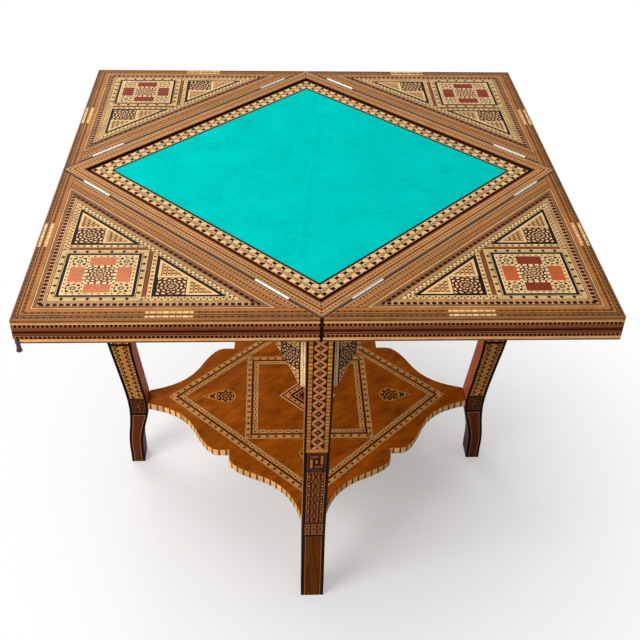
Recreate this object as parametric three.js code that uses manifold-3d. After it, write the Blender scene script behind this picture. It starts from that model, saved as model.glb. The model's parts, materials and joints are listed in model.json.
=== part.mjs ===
// Folding game table: a square centre frame with four triangular leaves that fold over it,
// on four sabre legs tied together by arched aprons and a scalloped shelf.
// Millimetres, +Z up. The origin is on the floor under the middle of the table.

import * as THREE from 'three';
import { mergeVertices } from 'three/addons/utils/BufferGeometryUtils.js';
import Module from 'manifold-3d';

const wasm = await Module();
wasm.setup();

// Overall sizes
const closedSide = 660;
const tableHeight = 750;
const slabThickness = 46;

// Clearances
const seamGap = 1;
const foldGap = 1.5;
const jointGap = 0.3;
const boardGap = 5.5;
const cutOverrun = 2;

// Centre frame, well and playing board
const frameWidth = 30.8;
const boardSink = 2.2;
const boardThickness = 12;
const ledgeWidth = 12;
const wellFloorThickness = 6;
const baizeSide = 524;
const baizeThickness = 1;
const baizeRecess = 1.2;

// Leaves
const playPanelThickness = 8;
const outerPanelThickness = 6;
const coreRailWidth = 34;
const leafEdgeRadius = 1.6;
const leafEdgeSteps = 2;

// Corner pull
const pullHeadRadius = 4.2;
const pullHeadHeight = 9.4;
const pullDrop = 21;
const pullNeckRadius = 3.4;
const pullSwellRadius = 4.9;
const pullSides = 16;

// Hinges
const hingeLength = 74;
const hingeInset = 106;
const hingePlateDepth = 14;
const hingePlateThickness = 1.2;
const barrelRadius = 2.4;
const pinRadius = 1;
const knuckleCount = 5;
const barrelSides = 12;
const hingeScrewCount = 3;
const hingeScrewDrop = 8.5;

// Legs
const legWidth = 45;
const legTopInset = 8.7;
const legTopDepth = 66;
const legSweep = 61.5;
const legSteps = 30;

// Aprons
const apronThickness = 18;
const apronSetback = 2.5;
const apronLegDepth = 116.5;
const apronMidDepth = 32;
const apronShoulder = 14;
const apronCurveSteps = 10;

// Shelf
const shelfTop = 180;
const shelfThickness = 17;
const shelfCurveSteps = 7;

// Corner blocks
const blockHeight = 45;
const blockDepth = 45;

// Tenons
const shelfTenonLength = 14;
const shelfTenonWidth = 24;
const shelfTenonThickness = 9;
const apronTenonLength = 12;
const apronTenonThickness = 9;
const apronTenonHeight = 60;
const apronTenonDrop = 20;

// Screws
const screwSides = 8;
const hingeScrew = { headRadius: 2.6, headDepth: 1.2, shankRadius: 1.2, length: 14 };
const blockScrew = { headRadius: 4.2, headDepth: 3.2, shankRadius: 2.1, length: 60 };

// Share of the leg's sweep that its outer face is drawn in at each share of its height
const legSweepShares = [
  [0, 0.862], [0.045, 0.862], [0.08, 0.85], [0.12, 0.885], [0.165, 0.955], [0.22, 1],
  [0.267, 0.976], [0.327, 0.878], [0.387, 0.76], [0.489, 0.553], [0.655, 0.29], [0.824, 0.06], [1, 0],
];

// Share of the leg's top depth that it has at each share of its height
const legDepthShares = [
  [0, 0.455], [0.1, 0.47], [0.155, 0.515], [0.205, 0.606], [0.245, 0.644], [0.293, 0.636],
  [0.367, 0.66], [0.448, 0.705], [0.485, 0.745], [0.71, 0.924], [0.85, 0.99], [1, 1],
];

// Control points of the apron's arch, as shares of its clear half length and of its rise
const apronArchShares = [[0.78, 0.72], [0.665, 1], [0.41, 1]];

// Control points of one eighth of the shelf's outline, as shares of its reach to the leg
const shelfHollowShares = [[0.9, 0.09], [0.775, 0.13], [0.7, 0.275]];
const shelfBulgeShares = [[0.678, 0.318], [0.617, 0.478], [0.545, 0.478]];
const shelfNotchShares = [[0.478, 0.478]];

// Profile of the pull below its head, as shares of its drop
const pullShares = { shoulder: 0.02, neck: 0.2, waist: 0.42, swell: 0.78, tip: 1 };

// Sizes worked out from those above
const halfSide = closedSide / 2;
const slabBottom = tableHeight - slabThickness;
const frameOuter = halfSide - seamGap / 2;
const frameInner = frameOuter - frameWidth;
const hingeAxisHeight = tableHeight + jointGap;
const leafEdgeInset = foldGap / Math.SQRT2;
const legHeight = slabBottom - jointGap;
const legTopRadius = halfSide * Math.SQRT2 - legTopInset;
const baizeTop = tableHeight - boardSink;
const boardBottom = baizeTop - boardThickness;
const shelfBottom = shelfTop - shelfThickness;

// Materials, one for each finish
const finish = (color, roughness, metalness = 0) =>
  new THREE.MeshStandardMaterial({ color, roughness, metalness });
const inlaidWood = finish(0x9a6238, 0.4);
const satinWood = finish(0xa65a20, 0.35);
const plainWood = finish(0x8a5a33, 0.6);
const greenBaize = finish(0x00ceba, 0.95);
const silveryMetal = finish(0xb9b4a8, 0.35, 0.9);
const pullWood = finish(0x3a211c, 0.45);

// Solids

function solidOf(geometry) {
  const bare = geometry.index ? geometry.toNonIndexed() : geometry.clone();
  bare.deleteAttribute('normal');
  bare.deleteAttribute('uv');
  const merged = mergeVertices(bare, 1e-5);
  return new wasm.Manifold(new wasm.Mesh({
    numProp: 3,
    vertProperties: new Float32Array(merged.attributes.position.array),
    triVerts: new Uint32Array(merged.index.array),
  }));
}

function geometryOf(solid) {
  const mesh = solid.getMesh();
  const geometry = new THREE.BufferGeometry();
  geometry.setAttribute('position', new THREE.BufferAttribute(mesh.vertProperties, 3));
  geometry.setIndex(new THREE.BufferAttribute(mesh.triVerts, 1));
  geometry.computeVertexNormals();
  return geometry;
}

const point = (x, y) => new THREE.Vector2(x, y);
const place = (x, y, z) => new THREE.Vector3(x, y, z);

// Upright prism on a plan outline, from one height to another
function prism(points, bottom, top) {
  const geometry = new THREE.ExtrudeGeometry(new THREE.Shape(points), {
    depth: top - bottom,
    bevelEnabled: false,
  });
  geometry.translate(0, 0, bottom);
  return solidOf(geometry);
}

function block(left, right, near, far, bottom, top) {
  return prism([point(left, near), point(right, near), point(right, far), point(left, far)], bottom, top);
}

// Board sawn to an outline drawn in the X-Z plane, between two Y planes
function sawnBoard(points, near, far) {
  const geometry = new THREE.ExtrudeGeometry(new THREE.Shape(points), {
    depth: far - near,
    bevelEnabled: false,
  });
  geometry.rotateX(Math.PI / 2);
  geometry.translate(0, far, 0);
  return solidOf(geometry);
}

// Solid of revolution whose profile runs along a line from a start in a direction
function turned(profile, start, direction, sides) {
  const geometry = new THREE.LatheGeometry(profile, sides);
  const turn = new THREE.Quaternion().setFromUnitVectors(place(0, 1, 0), direction);
  geometry.applyQuaternion(turn);
  geometry.translate(start.x, start.y, start.z);
  return solidOf(geometry);
}

function rod(start, end, radius, sides) {
  const direction = end.clone().sub(start);
  const length = direction.length();
  const profile = [point(0, 0), point(radius, 0), point(radius, length), point(0, length)];
  return turned(profile, start, direction.normalize(), sides);
}

// Countersunk wood screw with its head flush at the start; a larger copy of it cuts its hole
function screw(size, start, direction, clearance) {
  const { headRadius, headDepth, shankRadius, length } = size;
  const lead = start.clone().addScaledVector(direction, -clearance);
  const deep = clearance * 2;
  const profile = [
    point(0, 0),
    point(headRadius + clearance, 0),
    point(shankRadius + clearance, headDepth + deep),
    point(shankRadius + clearance, length - headDepth + deep),
    point(0, length + deep),
  ];
  return turned(profile, lead, direction, screwSides);
}

const joined = (solids) => solids.reduce((whole, solid) => whole.add(solid));
const cut = (solid, tools) => tools.reduce((rest, tool) => rest.subtract(tool), solid);
const turnedAbout = (solid, angle) => solid.rotate([0, 0, THREE.MathUtils.radToDeg(angle)]);

// Moves each edge of an anticlockwise outline inwards by its own amount
function inset(points, amounts) {
  const edges = points.map((start, i) => {
    const end = points[(i + 1) % points.length];
    const direction = end.clone().sub(start).normalize();
    const inward = point(-direction.y, direction.x);
    return { start: start.clone().addScaledVector(inward, amounts[i]), direction };
  });
  return edges.map((edge, i) => {
    const before = edges[(i + edges.length - 1) % edges.length];
    const across = before.direction.cross(edge.direction);
    const reach = edge.start.clone().sub(before.start).cross(edge.direction) / across;
    return before.start.clone().addScaledVector(before.direction, reach);
  });
}

// Smooth value at one share of the height from a table of height shares and values
function shareAt(shares, at) {
  const last = shares.length - 1;
  const i = Math.min(Math.max(shares.findIndex((row) => row[0] >= at), 1), last);
  const slope = (k) => {
    const [low, high] = [shares[Math.max(k - 1, 0)], shares[Math.min(k + 1, last)]];
    return (high[1] - low[1]) / (high[0] - low[0]);
  };
  const [from, to] = [shares[i - 1], shares[i]];
  const span = to[0] - from[0];
  const t = (at - from[0]) / span;
  const blend = t * t * (3 - 2 * t);
  const bend = t * (1 - t) * ((1 - t) * slope(i - 1) - t * slope(i)) * span;
  return from[1] * (1 - blend) + to[1] * blend + bend;
}

// Cubic curve from a start through three control points, without the start
function curvePoints(start, controls, steps) {
  return new THREE.CubicBezierCurve(start, ...controls).getPoints(steps).slice(1);
}

const square = (half) => [point(-half, -half), point(half, -half), point(half, half), point(-half, half)];

// The table and its parts

const table = new THREE.Group();

function add(parent, name, solid, material) {
  const mesh = new THREE.Mesh(geometryOf(solid), material);
  mesh.name = name;
  parent.add(mesh);
}

function turnedGroup(angle) {
  const group = new THREE.Group();
  group.rotation.z = angle;
  table.add(group);
  return group;
}

// Each side of the centre frame is drawn facing +Y and turned to its own diagonal;
// edges name the two outer edges of its leaf, the one on the +X side first
const sides = [
  { name: 'back_right', edges: ['right', 'back'], angle: -Math.PI / 4 },
  { name: 'back_left', edges: ['back', 'left'], angle: Math.PI / 4 },
  { name: 'front_left', edges: ['left', 'front'], angle: Math.PI * 0.75 },
  { name: 'front_right', edges: ['front', 'right'], angle: Math.PI * 1.25 },
];

// Each leg is drawn reaching out along +X and turned to its own axis
const corners = [
  { name: 'right', angle: 0 },
  { name: 'back', angle: Math.PI / 2 },
  { name: 'left', angle: Math.PI },
  { name: 'front', angle: Math.PI * 1.5 },
];

// Hinges: two to a side, drawn with the frame facing +Y

const hingeCentres = [-1, 1].map((hand) => hand * (halfSide - hingeInset));
const knuckleLength = hingeLength / knuckleCount;
const hingeScrewPitch = hingeLength / hingeScrewCount;

// The frame's plate has the odd knuckles and the leaf's plate has those between them
function knuckleSpans(centre, first) {
  const spans = [];
  for (let i = first; i < knuckleCount; i += 2) {
    const start = centre - hingeLength / 2 + i * knuckleLength;
    spans.push([start, start + knuckleLength]);
  }
  return spans;
}

const alongHinge = (from, to, radius) =>
  rod(place(from, halfSide, hingeAxisHeight), place(to, halfSide, hingeAxisHeight), radius, barrelSides);

// Screws of one hinge plate; hand is -1 into the frame and 1 into the leaf
function hingeScrews(centre, hand, clearance) {
  const face = halfSide + hand * seamGap / 2;
  const screws = [];
  for (let i = 0; i < hingeScrewCount; i += 1) {
    const x = centre + (i - (hingeScrewCount - 1) / 2) * hingeScrewPitch;
    const start = place(x, face, hingeAxisHeight - hingeScrewDrop);
    screws.push(screw(hingeScrew, start, place(0, hand, 0), clearance));
  }
  return screws;
}

// One plate with its knuckles and its screws; the pin is fast in the frame's knuckles
function hingePlate(centre, hand) {
  const face = halfSide + hand * seamGap / 2;
  const back = face + hand * hingePlateThickness;
  const [near, far] = hand < 0 ? [back, face] : [face, back];
  const [left, right] = [centre - hingeLength / 2, centre + hingeLength / 2];
  const own = knuckleSpans(centre, hand < 0 ? 0 : 1);
  const others = knuckleSpans(centre, hand < 0 ? 1 : 0);
  const plate = block(left, right, near, far, hingeAxisHeight - hingePlateDepth, hingeAxisHeight);
  const room = others.map(([from, to]) =>
    alongHinge(from - jointGap / 2, to + jointGap / 2, barrelRadius + jointGap));
  const knuckles = own.map(([from, to]) => alongHinge(from + jointGap / 2, to - jointGap / 2, barrelRadius));
  const whole = joined([cut(plate, room), ...knuckles]);
  const pinned = hand < 0
    ? whole.add(alongHinge(left + jointGap, right - jointGap, pinRadius))
    : whole.subtract(alongHinge(left, right, pinRadius + jointGap));
  return joined([pinned, ...hingeScrews(centre, hand, 0)]);
}

// Everything that is cut out of the wood on one side of a hinge
function hingeMortise(centre, hand) {
  const face = halfSide + hand * seamGap / 2;
  const open = face - hand * cutOverrun;
  const back = face + hand * (hingePlateThickness + jointGap);
  const [near, far] = hand < 0 ? [back, open] : [open, back];
  const reach = hingeLength / 2 + jointGap;
  const [left, right] = [centre - reach, centre + reach];
  const bottom = hingeAxisHeight - hingePlateDepth - jointGap;
  return joined([
    block(left, right, near, far, bottom, tableHeight + cutOverrun),
    alongHinge(left, right, barrelRadius + jointGap),
    ...hingeScrews(centre, hand, jointGap),
  ]);
}

// Sabre legs, sawn from thick board

const outerRadiusAt = (height) =>
  legTopRadius - legSweep * shareAt(legSweepShares, height / legHeight);
const innerRadiusAt = (height) =>
  outerRadiusAt(height) - legTopDepth * shareAt(legDepthShares, height / legHeight);

function legOutline() {
  const outer = [];
  const inner = [];
  for (let i = 0; i <= legSteps; i += 1) {
    const height = (i / legSteps) * legHeight;
    outer.push(point(outerRadiusAt(height), height));
    inner.unshift(point(innerRadiusAt(height), height));
  }
  return [...outer, ...inner];
}

// The shelf's tip stops short of the widest reach of the leg beside it
const shelfReach = Math.min(innerRadiusAt(shelfTop), innerRadiusAt(shelfBottom)) - jointGap;

// The shelf's tenon, or with a clearance the mortise that it needs
function shelfTenon(clearance) {
  const height = (shelfTop + shelfBottom) / 2;
  const [wide, deep] = [shelfTenonWidth / 2 + clearance, shelfTenonThickness / 2 + clearance];
  const end = shelfReach + shelfTenonLength + clearance;
  return block(shelfReach - cutOverrun, end, -wide, wide, height - deep, height + deep);
}

// Aprons meet the flat sides of the legs at 45 degrees
const apronOuter = frameOuter - apronSetback;
const apronInner = apronOuter - apronThickness;
const legSideShift = (legWidth / 2 + jointGap) * Math.SQRT2;
const apronHalf = apronOuter - legSideShift;

// Tenon of the apron on one hand of a leg, or with a clearance its mortise
function apronTenon(hand, clearance) {
  const face = legWidth / 2;
  const middle = (apronOuter + apronInner) / Math.SQRT2 - face;
  const [near, far] = [face - apronTenonLength - clearance, face + cutOverrun];
  const [low, high] = hand < 0 ? [-far, -near] : [near, far];
  const half = apronTenonThickness / 2 + clearance;
  const top = legHeight - apronTenonDrop + clearance;
  const bottom = legHeight - apronTenonDrop - apronTenonHeight - clearance;
  return block(middle - half, middle + half, low, high, bottom, top);
}

// Corner blocks stand behind the legs, between the aprons
const blockBottom = legHeight - blockHeight;
const blockOuter = Math.min(innerRadiusAt(blockBottom), innerRadiusAt(legHeight)) - jointGap;
const blockInner = blockOuter - blockDepth;
const blockPlane = (apronInner - jointGap) * Math.SQRT2;

// One screw runs into the leg and two run up into the frame
function blockScrews(clearance) {
  const radial = (blockInner + blockOuter) / 2;
  const across = (blockPlane + frameInner * Math.SQRT2) / 2 - radial;
  const level = place(blockInner, 0, legHeight - blockHeight / 2);
  return [
    screw(blockScrew, level, place(1, 0, 0), clearance),
    screw(blockScrew, place(radial, across, blockBottom), place(0, 0, 1), clearance),
    screw(blockScrew, place(radial, -across, blockBottom), place(0, 0, 1), clearance),
  ];
}

for (const { name, angle } of corners) {
  const group = turnedGroup(angle);
  const mortises = [shelfTenon(jointGap), apronTenon(-1, jointGap), apronTenon(1, jointGap)];
  const leg = sawnBoard(legOutline(), -legWidth / 2, legWidth / 2);
  add(group, `${name}_leg`, cut(leg, [...mortises, ...blockScrews(jointGap)]), inlaidWood);

  const blockPlan = [
    point(blockInner, blockInner - blockPlane),
    point(blockOuter, blockOuter - blockPlane),
    point(blockOuter, blockPlane - blockOuter),
    point(blockInner, blockPlane - blockInner),
  ];
  const cornerBlock = prism(blockPlan, blockBottom, legHeight);
  add(group, `${name}_corner_block`, joined([cornerBlock, ...blockScrews(0)]), plainWood);
}

// Aprons

function apronOutline() {
  const springing = point(apronHalf - apronShoulder, legHeight - apronLegDepth);
  const rise = apronLegDepth - apronMidDepth;
  const controls = apronArchShares.map(([along, up]) => point(apronHalf * along, springing.y + rise * up));
  const rightHalf = [
    ...curvePoints(springing, controls, apronCurveSteps).reverse(),
    springing,
    point(apronHalf, springing.y),
    point(apronHalf, legHeight),
  ];
  return [...rightHalf, ...rightHalf.map((p) => point(-p.x, p.y)).reverse()];
}

function apron() {
  const board = sawnBoard(apronOutline(), apronInner, apronOuter);
  const plan = [
    point(-apronHalf, apronOuter),
    point(legSideShift - apronInner, apronInner),
    point(apronInner - legSideShift, apronInner),
    point(apronHalf, apronOuter),
  ];
  const tenons = [
    turnedAbout(apronTenon(1, 0), Math.PI / 4),
    turnedAbout(apronTenon(-1, 0), Math.PI * 0.75),
  ];
  return joined([board.intersect(prism(plan, 0, legHeight)), ...tenons]);
}

// Leaves: a core of three mitred rails between two inlaid panels

const leafTriangle = [point(-halfSide, halfSide), point(halfSide, halfSide), point(0, closedSide)];
const leafOutline = inset(leafTriangle, [seamGap / 2, leafEdgeInset, leafEdgeInset]);
const leafInner = inset(leafOutline, [coreRailWidth, coreRailWidth, coreRailWidth]);
const leafApex = leafOutline[2].y;
const playPanelBottom = tableHeight - playPanelThickness;
const outerPanelTop = slabBottom + outerPanelThickness;

// The open top as one slab with its edges eased, from which the leaves' panels take their outer edges
function easedTop() {
  const outline = [point(leafApex, 0), point(0, leafApex), point(-leafApex, 0), point(0, -leafApex)];
  const geometry = new THREE.ExtrudeGeometry(new THREE.Shape(outline), {
    depth: slabThickness - leafEdgeRadius * 2,
    bevelThickness: leafEdgeRadius,
    bevelSize: leafEdgeRadius,
    bevelOffset: -leafEdgeRadius,
    bevelSegments: leafEdgeSteps,
  });
  geometry.translate(0, 0, slabBottom + leafEdgeRadius);
  return solidOf(geometry);
}

// Leaf panel whose outer edges overrun, so that the eased slab gives them their shape
function leafPanel(bottom, top) {
  const outline = inset(leafTriangle, [seamGap / 2, -cutOverrun, -cutOverrun]);
  return prism(outline, bottom, top).intersect(easedTop());
}

function coreRail(i) {
  const next = (i + 1) % leafOutline.length;
  const outline = [leafOutline[i], leafOutline[next], leafInner[next], leafInner[i]];
  const plan = inset(outline, [0, jointGap / 2, 0, jointGap / 2]);
  return prism(plan, outerPanelTop + jointGap, playPanelBottom - jointGap);
}

// Corner pull: a turned drop whose head sits in a notch in the leaf's outer corner
const pullRoom = pullHeadRadius + jointGap;
const pullHeadTop = slabBottom + pullHeadHeight;

function pull() {
  const below = (share) => pullHeadHeight + pullDrop * share;
  const profile = [
    point(0, 0),
    point(pullHeadRadius, 0),
    point(pullHeadRadius, below(pullShares.shoulder)),
    point(pullNeckRadius, below(pullShares.neck)),
    point(pullNeckRadius, below(pullShares.waist)),
    point(pullSwellRadius, below(pullShares.swell)),
    point(0, below(pullShares.tip)),
  ];
  const centre = leafApex - pullRoom * Math.SQRT2;
  return turned(profile, place(0, centre, pullHeadTop), place(0, 0, -1), pullSides);
}

function pullNotch() {
  const half = pullRoom * Math.SQRT2;
  const outline = [
    point(0, leafApex - half * 2),
    point(half + cutOverrun, leafApex - half + cutOverrun),
    point(0, leafApex + cutOverrun * 2),
    point(-half - cutOverrun, leafApex - half + cutOverrun),
  ];
  return prism(outline, slabBottom - cutOverrun, pullHeadTop + jointGap);
}

// Strip along one side of a square ring, mitred at both ends
function mitredStrip(outer, inner, bottom, top) {
  const outline = [point(-outer, outer), point(-inner, inner), point(inner, inner), point(outer, outer)];
  return prism(inset(outline, [jointGap / 2, 0, jointGap / 2, 0]), bottom, top);
}

for (const { name, edges, angle } of sides) {
  const group = turnedGroup(angle);
  const frameMortises = hingeCentres.map((centre) => hingeMortise(centre, -1));
  const leafMortises = hingeCentres.map((centre) => hingeMortise(centre, 1));
  const withPull = name === 'front_left';
  const notch = withPull ? [pullNotch()] : [];
  const screwBores = [Math.PI / 4, Math.PI * 0.75].flatMap((turn) =>
    blockScrews(jointGap).map((bore) => turnedAbout(bore, turn)));

  add(group, `${name}_apron`, apron(), inlaidWood);
  const frameRail = mitredStrip(frameOuter, frameInner, slabBottom, tableHeight);
  add(group, `${name}_frame_rail`, cut(frameRail, [...frameMortises, ...screwBores]), inlaidWood);

  hingeCentres.forEach((centre, i) => {
    add(group, `${name}_hinge_${i + 1}_frame_plate`, hingePlate(centre, -1), silveryMetal);
    add(group, `${name}_hinge_${i + 1}_leaf_plate`, hingePlate(centre, 1), silveryMetal);
  });

  const playPanel = leafPanel(playPanelBottom, tableHeight);
  const outerPanel = leafPanel(slabBottom, outerPanelTop);
  add(group, `${name}_leaf_play_panel`, cut(playPanel, leafMortises), inlaidWood);
  add(group, `${name}_leaf_hinge_rail`, cut(coreRail(0), leafMortises), plainWood);
  edges.forEach((edge, i) => {
    add(group, `${name}_leaf_${edge}_rail`, cut(coreRail(i + 1), notch), inlaidWood);
  });
  add(group, `${name}_leaf_outer_panel`, cut(outerPanel, notch), inlaidWood);
  if (withPull) add(group, 'corner_pull', pull(), pullWood);
}

// Well, and the playing board that covers it

const middle = turnedGroup(Math.PI / 4);
const wellFloorTop = slabBottom + wellFloorThickness;
const ledgeOuter = frameInner - jointGap;
const ledge = prism(square(ledgeOuter), wellFloorTop + jointGap, boardBottom - jointGap);
const wellSpace = prism(square(ledgeOuter - ledgeWidth), slabBottom, tableHeight);
add(middle, 'well_floor', prism(square(ledgeOuter), slabBottom, wellFloorTop), plainWood);
add(middle, 'board_ledge', ledge.subtract(wellSpace), plainWood);

const baizeBottom = baizeTop - baizeRecess + jointGap;
const board = prism(square(frameInner - boardGap), boardBottom, baizeTop);
const baizeSeat = prism(square(baizeSide / 2 + jointGap), baizeTop - baizeRecess, baizeTop + cutOverrun);
add(middle, 'playing_board', board.subtract(baizeSeat), inlaidWood);
add(middle, 'baize', prism(square(baizeSide / 2), baizeBottom, baizeBottom + baizeThickness), greenBaize);

// Shelf: one eighth of its outline is drawn and mirrored round

function shelfOutline() {
  const scaled = (shares) => shares.map(([x, y]) => point(shelfReach * x, shelfReach * y));
  const tip = point(shelfReach, legWidth / 2);
  const hollow = scaled(shelfHollowShares);
  const bulge = scaled(shelfBulgeShares);
  const notch = scaled(shelfNotchShares);
  const eighth = [
    tip,
    ...curvePoints(tip, hollow, shelfCurveSteps),
    ...curvePoints(hollow[2], bulge, shelfCurveSteps),
  ];
  const quarter = [...eighth, ...notch, ...eighth.map((p) => point(p.y, p.x)).reverse()];
  return corners.flatMap(({ angle }) => quarter.map((p) => p.clone().rotateAround(point(0, 0), angle)));
}

const shelfTenons = corners.map(({ angle }) => turnedAbout(shelfTenon(0), angle));
add(table, 'shelf', joined([prism(shelfOutline(), shelfBottom, shelfTop), ...shelfTenons]), satinWood);

export default table;
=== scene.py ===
import json
import math

import bpy
from mathutils import Matrix, Vector
from mathutils import noise as mathnoise


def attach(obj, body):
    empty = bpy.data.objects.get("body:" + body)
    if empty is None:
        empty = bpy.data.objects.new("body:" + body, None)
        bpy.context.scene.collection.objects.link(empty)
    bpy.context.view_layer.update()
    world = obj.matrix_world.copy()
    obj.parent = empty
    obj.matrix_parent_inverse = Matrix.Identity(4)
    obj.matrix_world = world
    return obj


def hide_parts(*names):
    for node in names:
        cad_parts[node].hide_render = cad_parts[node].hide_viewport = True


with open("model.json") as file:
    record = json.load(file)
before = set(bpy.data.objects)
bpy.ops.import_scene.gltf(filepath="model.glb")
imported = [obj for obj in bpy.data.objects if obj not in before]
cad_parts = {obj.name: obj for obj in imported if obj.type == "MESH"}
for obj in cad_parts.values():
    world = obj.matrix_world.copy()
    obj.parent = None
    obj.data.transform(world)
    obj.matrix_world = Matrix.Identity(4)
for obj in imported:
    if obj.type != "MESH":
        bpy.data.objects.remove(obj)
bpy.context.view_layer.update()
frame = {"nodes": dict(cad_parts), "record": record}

# The camera looks down at the table from the front, from the height of a standing person's eyes. The
# picture shows each colour as it is written.

bpy.ops.object.select_all(action="DESELECT")
scene = bpy.context.scene
scene.view_settings.view_transform = "Standard"

yaw, pitch, roll = 0.056371, 0.649483, 0.0285799
camera_place = (-0.0684, -1.6234, 1.6269)
forward = Vector((math.sin(yaw) * math.cos(pitch), math.cos(yaw) * math.cos(pitch), -math.sin(pitch)))
sideways = Vector((math.cos(yaw), -math.sin(yaw), 0))
upward = sideways.cross(forward)
tilted_side = sideways * math.cos(roll) + upward * math.sin(roll)
tilted_up = upward * math.cos(roll) - sideways * math.sin(roll)
camera = bpy.data.objects.new("camera", bpy.data.cameras.new("camera"))
camera.data.lens = 54.29
camera.data.clip_end = 60
turn = Matrix((tilted_side, tilted_up, -forward)).transposed().to_4x4()
camera.matrix_world = Matrix.Translation(camera_place) @ turn
scene.collection.objects.link(camera)
scene.camera = camera

# The room: a plain white floor under the table, white all round, and two large soft lamps, one high
# on the left and one over the back. The floor keeps the table's shadow and fades out to white.


class Value:
    """One number that a surface has at each of its points, so that sums on it add Math nodes."""

    def __init__(self, nodes, socket):
        self.nodes, self.socket = nodes, socket

    def math(self, operation, *values):
        return self.nodes.add("ShaderNodeMath", {"operation": operation}, dict(enumerate(values)))

    def __add__(self, other):
        return self.math("ADD", self, other)

    def __sub__(self, other):
        return self.math("SUBTRACT", self, other)

    def __rsub__(self, other):
        return self.math("SUBTRACT", other, self)

    def __mul__(self, other):
        return self.math("MULTIPLY", self, other)

    def __truediv__(self, other):
        return self.math("DIVIDE", self, other)

    def __mod__(self, other):
        return self.math("FLOORED_MODULO", self, other)

    def __lt__(self, other):
        return self.math("LESS_THAN", self, other)

    def __gt__(self, other):
        return self.math("GREATER_THAN", self, other)

    def __abs__(self):
        return self.math("ABSOLUTE", self)

    def least(self, other):
        return self.math("MINIMUM", self, other)

    def most(self, other):
        return self.math("MAXIMUM", self, other)

    def part(self):
        return self.math("FRACT", self)

    def whole(self):
        return self.math("FLOOR", self)

    def between(self, low, high):
        return (self > low) & (self < high)

    __radd__ = __add__
    __rmul__ = __mul__
    __and__ = __mul__
    __or__ = most


class Nodes:
    """The nodes of one finish, or of the room's own light."""

    def __init__(self, tree):
        self.tree = tree

    def add(self, kind, settings, values, out=0):
        """Adds a node with its settings, then the numbers, colours or links of its sockets."""
        node = self.tree.nodes.new(kind)
        for name, setting in settings.items():
            if name == "stops":
                ramp = node.color_ramp
                ramp.interpolation = "CONSTANT"
                for place, colour in setting:
                    stop = ramp.elements.new(place) if place else ramp.elements[0]
                    stop.color = colour
                ramp.elements.remove(ramp.elements[-1])
            elif name == "points":
                curve = node.mapping.curves[0]
                for place, height in setting[1:-1]:
                    curve.points.new(place, height)
                curve.points[0].location = setting[0]
                curve.points[-1].location = setting[-1]
                node.mapping.update()
            else:
                setattr(node, name, setting)
        for key, value in values.items():
            if isinstance(value, Value):
                self.tree.links.new(value.socket, node.inputs[key])
            else:
                node.inputs[key].default_value = value
        return Value(self, node.outputs[out])

    def mixed(self, under, over, mask):
        """One colour over another where the mask is 1."""
        return self.add("ShaderNodeMix", {"data_type": "RGBA"}, {0: mask, 6: under, 7: over}, 2)

    def scaled(self, colour, factor):
        """A colour or a place with each of its parts multiplied."""
        if not isinstance(colour, Value):
            colour = colour[:3]
        return self.add("ShaderNodeVectorMath", {"operation": "SCALE"}, {0: colour, 3: factor})

    def joined(self, x, y, z):
        """A place from its three numbers."""
        return self.add("ShaderNodeCombineXYZ", {}, {0: x, 1: y, 2: z})

    def noise(self, place, scale, detail=4.0, roughness=0.55):
        """Soft clouds from 0 to 1."""
        sockets = {"Vector": place, "Scale": scale, "Detail": detail, "Roughness": roughness}
        return self.add("ShaderNodeTexNoise", {}, sockets)


def in_sight(nodes):
    """Where a ray comes from the camera, straight or by way of a shiny or a clear surface."""
    straight, mirrored, through = (
        nodes.add("ShaderNodeLightPath", {}, {}, f"Is {ray} Ray")
        for ray in ("Camera", "Glossy", "Transmission")
    )
    return straight | mirrored | through


room = bpy.data.worlds.new("white_room")
room.use_nodes = True
scene.world = room
background = room.node_tree.nodes["Background"]
background.inputs["Color"].default_value = (1, 1, 1, 1)
room_light = 0.36
strength = room_light + (1 - room_light) * in_sight(Nodes(room.node_tree))
room.node_tree.links.new(strength.socket, background.inputs["Strength"])

table_middle = Vector((0, 0, 0.6))
for name, place, size, power in (
    ("left_lamp", (-2.0, -1.6, 1.95), 1.5, 56),
    ("back_lamp", (-1.5, 2.2, 2.9), 2.4, 64),
):
    lamp = bpy.data.lights.new(name, "AREA")
    lamp.shape, lamp.size, lamp.energy = "SQUARE", size, power
    stand = bpy.data.objects.new(name, lamp)
    stand.location = place
    stand.rotation_euler = (table_middle - Vector(place)).to_track_quat("-Z", "Y").to_euler()
    scene.collection.objects.link(stand)

bpy.ops.mesh.primitive_plane_add(size=60)
floor = bpy.context.object
floor.name = "studio_floor"
paint = bpy.data.materials.new("white_floor")
paint.use_nodes = True
floor.data.materials.append(paint)
ground = Nodes(paint.node_tree)
matt = paint.node_tree.nodes["Principled BSDF"]
matt.inputs["Roughness"].default_value = 0.9
spot = ground.add("ShaderNodeTexCoord", {}, {}, "Object")
distance = ground.add("ShaderNodeVectorMath", {"operation": "LENGTH"}, {0: spot}, "Value")
fade = {"Value": distance, "From Min": 0.2, "From Max": 1.1, "To Min": 0.3}
faded = ground.add("ShaderNodeMapRange", {"interpolation_type": "SMOOTHSTEP"}, fade)
white = ground.add("ShaderNodeEmission", {}, {"Color": (1, 1, 1, 1), "Strength": 1.0})
shown = in_sight(ground)
pale = ground.mixed((0.5, 0.49, 0.48, 1), (0.94, 0.94, 0.94, 1), shown)
paint.node_tree.links.new(pale.socket, matt.inputs["Base Color"])
blend = ground.add("ShaderNodeMixShader", {}, {0: faded & shown, 2: white})
paint.node_tree.links.new(matt.outputs[0], blend.socket.node.inputs[1])
paint.node_tree.links.new(blend.socket, paint.node_tree.nodes["Material Output"].inputs["Surface"])

# The four sabre legs, sawn from thick board and veneered on three sides: on the outer face a lattice
# between rows of amber blocks, a pinwheel and a seed mosaic, on the sides a zigzag among dark spots,
# and plain panels at the foot, all edged in black. The inner face is bare, and dark below the shelf.

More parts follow.
